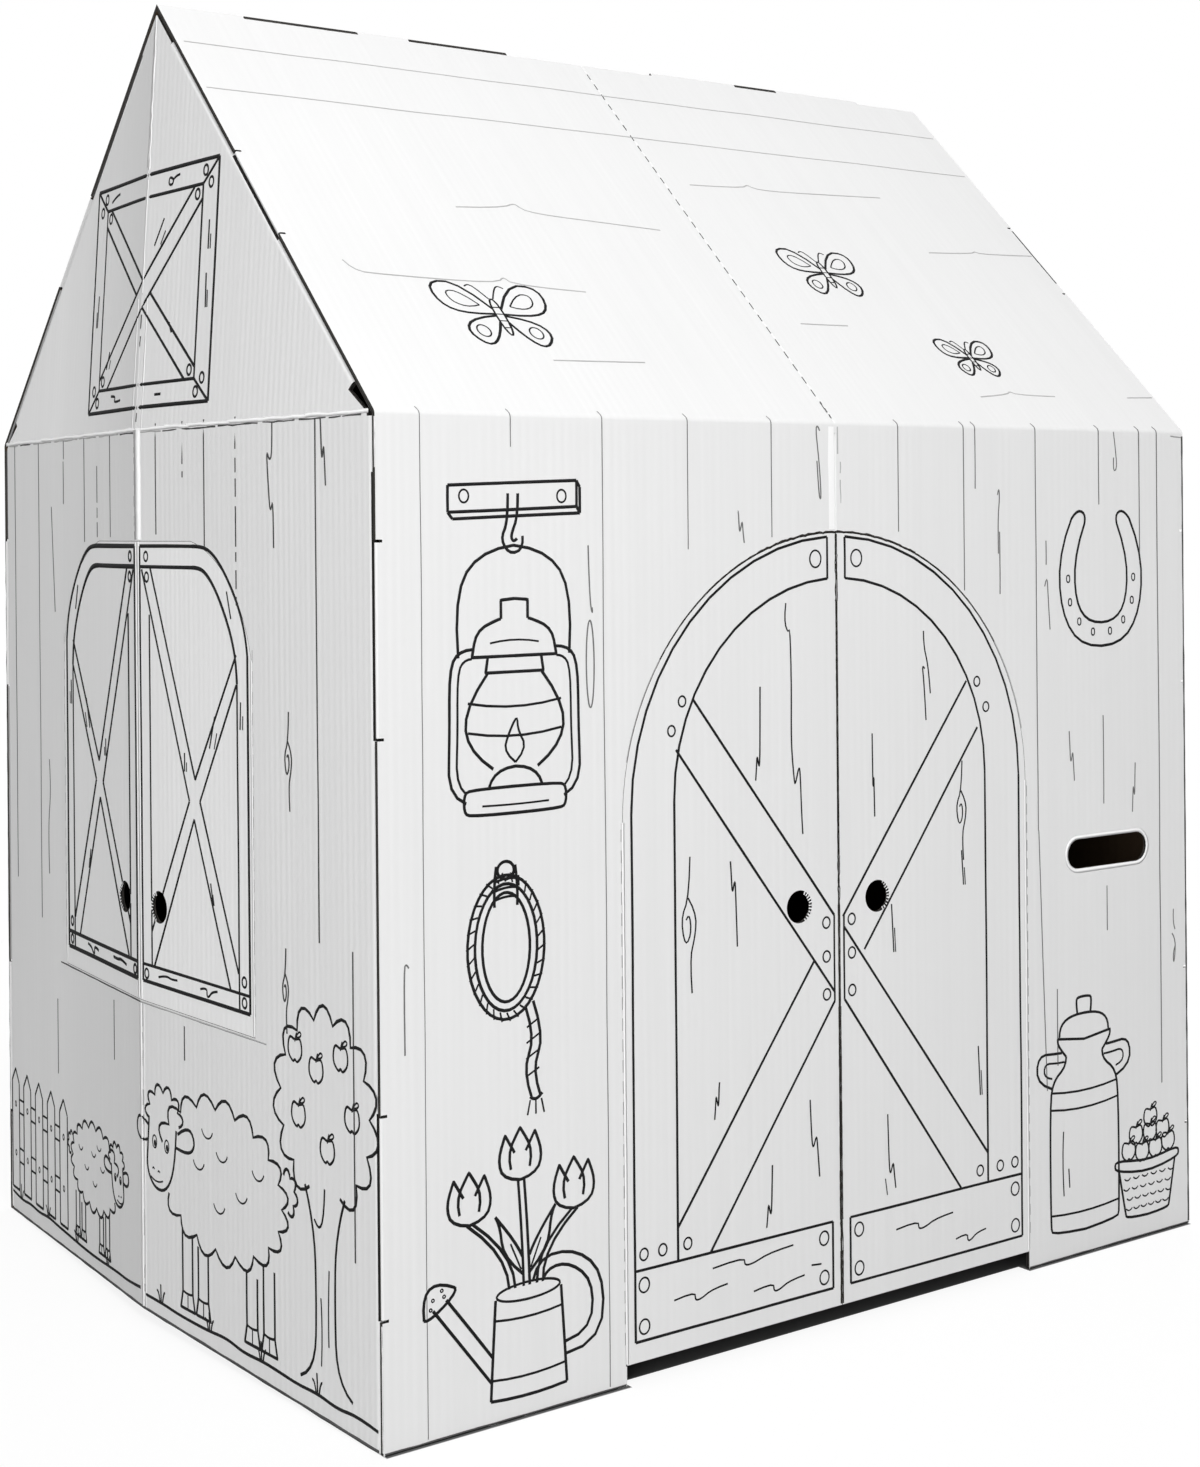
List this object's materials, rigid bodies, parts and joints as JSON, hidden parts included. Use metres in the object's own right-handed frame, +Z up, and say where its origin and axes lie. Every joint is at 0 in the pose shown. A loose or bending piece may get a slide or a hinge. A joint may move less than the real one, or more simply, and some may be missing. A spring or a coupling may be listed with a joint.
{
  "type": "cardboard barn playhouse",
  "caption": "Barn-shaped playhouse of creased corrugated board with a pitched roof, an arched double door, shuttered gable windows and a mail slot.",
  "frame": {"origin": "on the floor under the middle of the house", "axes": "+X along the ridge, -Y out of the front wall with the double door, +Z up"},
  "size_m": [0.8548, 0.673, 1.029],
  "materials": {
    "coated_board": "matte white clay-coated corrugated board, kraft inside, printed with black outlines"
  },
  "bodies": {
    "house": {"back_corner_tabs_left": "coated_board", "back_corner_tabs_right": "coated_board", "back_roof_left": "coated_board", "back_roof_right": "coated_board", "back_roof_tab_left": "coated_board", "back_roof_tab_right": "coated_board", "back_wall_left": "coated_board", "back_wall_right": "coated_board", "front_corner_tabs_left": "coated_board", "front_corner_tabs_right": "coated_board", "front_roof_left": "coated_board", "front_roof_right": "coated_board", "front_roof_tab_left": "coated_board", "front_roof_tab_right": "coated_board", "front_wall_left": "coated_board", "front_wall_right": "coated_board", "left_gable_corner_flange_back": "coated_board", "left_gable_corner_flange_front": "coated_board", "left_gable_peak_back": "coated_board", "left_gable_peak_front": "coated_board", "left_gable_rake_flange_back": "coated_board", "left_gable_rake_flange_front": "coated_board", "left_gable_wall_back": "coated_board", "left_gable_wall_front": "coated_board", "right_gable_corner_flange_back": "coated_board", "right_gable_corner_flange_front": "coated_board", "right_gable_peak_back": "coated_board", "right_gable_peak_front": "coated_board", "right_gable_rake_flange_back": "coated_board", "right_gable_rake_flange_front": "coated_board", "right_gable_wall_back": "coated_board", "right_gable_wall_front": "coated_board"},
    "door_left": {"front_door_left": "coated_board"},
    "door_right": {"front_door_right": "coated_board"},
    "left_shutter_front": {"left_shutter_front": "coated_board"},
    "left_shutter_back": {"left_shutter_back": "coated_board"},
    "right_shutter_front": {"right_shutter_front": "coated_board"},
    "right_shutter_back": {"right_shutter_back": "coated_board"}
  },
  "joints": [
    {"name": "door_left_crease", "type": "hinge", "parent": "house", "child": "door_left", "pos_m": [-0.206, -0.3365, 0.2], "axis": [0, 0, -1], "range_deg": [0, 165]},
    {"name": "door_right_crease", "type": "hinge", "parent": "house", "child": "door_right", "pos_m": [0.206, -0.3365, 0.2], "axis": [0, 0, 1], "range_deg": [0, 165]},
    {"name": "left_shutter_front_crease", "type": "hinge", "parent": "house", "child": "left_shutter_front", "pos_m": [-0.41654, -0.17365, 0.385], "axis": [0, 0, 1], "range_deg": [0, 165]},
    {"name": "left_shutter_back_crease", "type": "hinge", "parent": "house", "child": "left_shutter_back", "pos_m": [-0.41654, 0.17365, 0.385], "axis": [0, 0, -1], "range_deg": [0, 165]},
    {"name": "right_shutter_front_crease", "type": "hinge", "parent": "house", "child": "right_shutter_front", "pos_m": [0.41654, -0.17365, 0.385], "axis": [0, 0, -1], "range_deg": [0, 165]},
    {"name": "right_shutter_back_crease", "type": "hinge", "parent": "house", "child": "right_shutter_back", "pos_m": [0.41654, 0.17365, 0.385], "axis": [0, 0, 1], "range_deg": [0, 165]}
  ]
}
